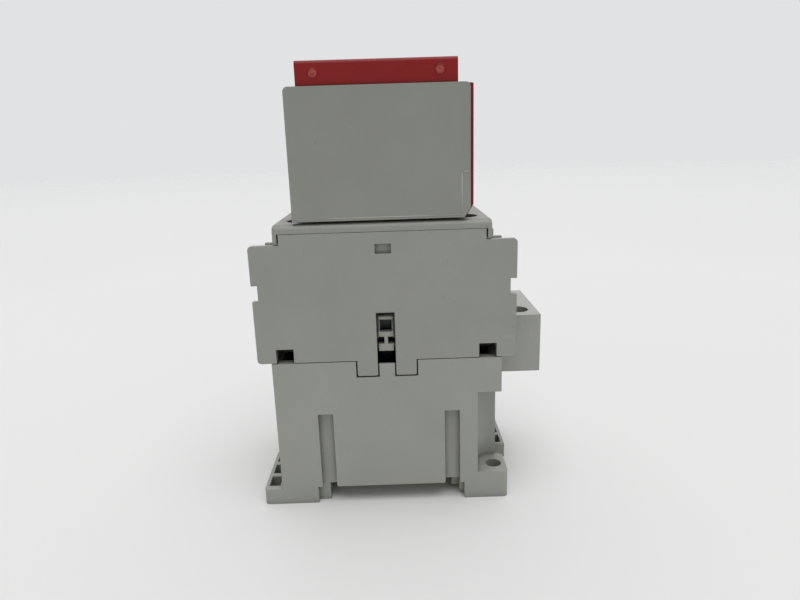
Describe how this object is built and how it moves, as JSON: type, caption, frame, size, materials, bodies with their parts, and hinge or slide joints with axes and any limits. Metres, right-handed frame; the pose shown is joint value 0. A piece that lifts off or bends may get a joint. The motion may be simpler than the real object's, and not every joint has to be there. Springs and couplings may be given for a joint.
{
  "type": "din rail contactor",
  "caption": "Compact three-pole safety contactor for a 35 mm rail: grey housing, red auxiliary contact block on the front, sprung contact carrier and screw terminals.",
  "frame": {"origin": "centre of the two mounting holes, on the rear mounting plane", "axes": "+X towards the line side and coil terminals, +Y across the width, +Z out to the front (auxiliary block)"},
  "size_m": [0.0801, 0.045, 0.12],
  "materials": {
    "housing_grey": "matt moulded thermoplastic, fine spark texture",
    "cover_grey": "matt moulded thermoplastic, slightly lighter",
    "catch_grey": "satin moulded thermoplastic",
    "signal_red": "satin moulded thermoplastic",
    "carrier_dark": "matt thermoset",
    "bobbin_natural": "satin nylon",
    "zinc_steel": "zinc plated, passivated",
    "magnet_steel": "ground laminated steel",
    "spring_steel": "drawn spring wire",
    "copper_strip": "tinned copper, bare edges",
    "silver_tip": "silver alloy, satin",
    "winding_enamel": "enamelled wire under clear tape",
    "pad_rubber": "matt",
    "label_white": "blank writing label"
  },
  "bodies": {
    "housing": {"base_housing": "housing_grey", "contact_housing": "housing_grey", "front_cover": "cover_grey", "magnet_core": "magnet_steel", "shading_rings": "copper_strip", "core_pads": "pad_rubber", "coil_bobbin": "bobbin_natural", "coil_winding": "winding_enamel", "coil_terminal_block": "housing_grey", "coil_terminals": "copper_strip", "line_contacts": "copper_strip", "load_contacts": "copper_strip", "fixed_tips": "silver_tip", "arc_splitters": "zinc_steel", "return_springs": "spring_steel", "rail_latch_spring": "spring_steel", "aux_housing": "signal_red", "aux_side_plate_near": "housing_grey", "aux_side_plate_far": "housing_grey", "aux_cap": "signal_red", "aux_label": "label_white", "aux_terminals": "copper_strip", "aux_screws": "zinc_steel", "aux_cages": "zinc_steel"},
    "carrier": {"contact_carrier": "carrier_dark", "armature": "magnet_steel", "armature_pin": "magnet_steel", "contact_springs": "spring_steel", "aux_slider": "carrier_dark", "aux_bridges_break": "copper_strip", "aux_springs_make": "spring_steel", "aux_springs_break": "spring_steel"},
    "main_bridges": {"contact_bridge_1": "copper_strip", "contact_bridge_2": "copper_strip", "contact_bridge_3": "copper_strip", "bridge_tips": "silver_tip"},
    "aux_make_bridges": {"aux_bridges_make": "copper_strip"},
    "latch": {"rail_latch": "housing_grey"},
    "catch_near": {"housing_catch_near": "catch_grey"},
    "catch_far": {"housing_catch_far": "catch_grey"},
    "screw_1": {"terminal_screw_1": "zinc_steel"},
    "cage_1": {"terminal_cage_1": "zinc_steel"},
    "screw_2": {"terminal_screw_2": "zinc_steel"},
    "cage_2": {"terminal_cage_2": "zinc_steel"},
    "screw_3": {"terminal_screw_3": "zinc_steel"},
    "cage_3": {"terminal_cage_3": "zinc_steel"},
    "screw_4": {"terminal_screw_4": "zinc_steel"},
    "cage_4": {"terminal_cage_4": "zinc_steel"},
    "screw_5": {"terminal_screw_5": "zinc_steel"},
    "cage_5": {"terminal_cage_5": "zinc_steel"},
    "screw_6": {"terminal_screw_6": "zinc_steel"},
    "cage_6": {"terminal_cage_6": "zinc_steel"},
    "coil_screw_1": {"coil_screw_1": "zinc_steel"},
    "coil_cage_1": {"coil_cage_1": "zinc_steel"},
    "coil_screw_2": {"coil_screw_2": "zinc_steel"},
    "coil_cage_2": {"coil_cage_2": "zinc_steel"}
  },
  "joints": [
    {"name": "carrier_slide", "type": "slide", "parent": "housing", "child": "carrier", "axis": [0, 0, -1], "range_m": [0, 0.0055], "stiffness_N_per_m": 600, "springref_m": -0.006, "deforming": ["return_springs"]},
    {"name": "main_bridges_slide", "type": "slide", "parent": "carrier", "child": "main_bridges", "axis": [0, 0, 1], "range_m": [0, 0.0015], "deforming": ["contact_springs"]},
    {"name": "aux_make_bridges_slide", "type": "slide", "parent": "carrier", "child": "aux_make_bridges", "axis": [0, 0, 1], "range_m": [0, 0.0015], "deforming": ["aux_springs_make"]},
    {"name": "rail_latch_slide", "type": "slide", "parent": "housing", "child": "latch", "axis": [-1, 0, 0], "range_m": [0, 0.003], "stiffness_N_per_m": 1500, "springref_m": -0.002, "deforming": ["rail_latch_spring"]},
    {"name": "catch_near_flex", "type": "hinge", "parent": "housing", "child": "catch_near", "pos_m": [0, -0.0208, 0.0546], "axis": [1, 0, 0], "range_deg": [0, 2], "stiffness_Nm_per_rad": 0.1},
    {"name": "catch_far_flex", "type": "hinge", "parent": "housing", "child": "catch_far", "pos_m": [0, 0.0208, 0.0546], "axis": [1, 0, 0], "range_deg": [-2, 0], "stiffness_Nm_per_rad": 0.1},
    {"name": "terminal_cage_1_lift", "type": "slide", "parent": "housing", "child": "cage_1", "axis": [0, 0, 1], "range_m": [0, 0.00315]},
    {"name": "terminal_screw_1_turn", "type": "hinge", "parent": "housing", "child": "screw_1", "pos_m": [0.0213, -0.01438, 0.066], "axis": [0, 0, 1], "range_deg": [-1620, 0]},
    {"name": "terminal_cage_2_lift", "type": "slide", "parent": "housing", "child": "cage_2", "axis": [0, 0, 1], "range_m": [0, 0.00315]},
    {"name": "terminal_screw_2_turn", "type": "hinge", "parent": "housing", "child": "screw_2", "pos_m": [0.0213, 0, 0.066], "axis": [0, 0, 1], "range_deg": [-1620, 0]},
    {"name": "terminal_cage_3_lift", "type": "slide", "parent": "housing", "child": "cage_3", "axis": [0, 0, 1], "range_m": [0, 0.00315]},
    {"name": "terminal_screw_3_turn", "type": "hinge", "parent": "housing", "child": "screw_3", "pos_m": [0.0213, 0.01438, 0.066], "axis": [0, 0, 1], "range_deg": [-1620, 0]},
    {"name": "terminal_cage_4_lift", "type": "slide", "parent": "housing", "child": "cage_4", "axis": [0, 0, 1], "range_m": [0, 0.00315]},
    {"name": "terminal_screw_4_turn", "type": "hinge", "parent": "housing", "child": "screw_4", "pos_m": [-0.0213, -0.01438, 0.066], "axis": [0, 0, 1], "range_deg": [-1620, 0]},
    {"name": "terminal_cage_5_lift", "type": "slide", "parent": "housing", "child": "cage_5", "axis": [0, 0, 1], "range_m": [0, 0.00315]},
    {"name": "terminal_screw_5_turn", "type": "hinge", "parent": "housing", "child": "screw_5", "pos_m": [-0.0213, 0, 0.066], "axis": [0, 0, 1], "range_deg": [-1620, 0]},
    {"name": "terminal_cage_6_lift", "type": "slide", "parent": "housing", "child": "cage_6", "axis": [0, 0, 1], "range_m": [0, 0.00315]},
    {"name": "terminal_screw_6_turn", "type": "hinge", "parent": "housing", "child": "screw_6", "pos_m": [-0.0213, 0.01438, 0.066], "axis": [0, 0, 1], "range_deg": [-1620, 0]},
    {"name": "coil_cage_1_lift", "type": "slide", "parent": "housing", "child": "coil_cage_1", "axis": [0, 0, 1], "range_m": [0, 0.002]},
    {"name": "coil_screw_1_turn", "type": "hinge", "parent": "housing", "child": "coil_screw_1", "pos_m": [0.038, 0.0082, 0.047], "axis": [0, 0, 1], "range_deg": [-1440, 0]},
    {"name": "coil_cage_2_lift", "type": "slide", "parent": "housing", "child": "coil_cage_2", "axis": [0, 0, 1], "range_m": [0, 0.002]},
    {"name": "coil_screw_2_turn", "type": "hinge", "parent": "housing", "child": "coil_screw_2", "pos_m": [0.038, -0.0082, 0.047], "axis": [0, 0, 1], "range_deg": [-1440, 0]}
  ],
  "couplings": [
    {"joint": "main_bridges_slide", "follows": "carrier_slide", "ratio": 0.2727},
    {"joint": "aux_make_bridges_slide", "follows": "carrier_slide", "ratio": 0.2727},
    {"joint": "terminal_screw_1_turn", "follows": "terminal_cage_1_lift", "rad_per_m": -8976},
    {"joint": "terminal_screw_2_turn", "follows": "terminal_cage_2_lift", "rad_per_m": -8976},
    {"joint": "terminal_screw_3_turn", "follows": "terminal_cage_3_lift", "rad_per_m": -8976},
    {"joint": "terminal_screw_4_turn", "follows": "terminal_cage_4_lift", "rad_per_m": -8976},
    {"joint": "terminal_screw_5_turn", "follows": "terminal_cage_5_lift", "rad_per_m": -8976},
    {"joint": "terminal_screw_6_turn", "follows": "terminal_cage_6_lift", "rad_per_m": -8976},
    {"joint": "coil_screw_1_turn", "follows": "coil_cage_1_lift", "rad_per_m": -12566},
    {"joint": "coil_screw_2_turn", "follows": "coil_cage_2_lift", "rad_per_m": -12566}
  ]
}
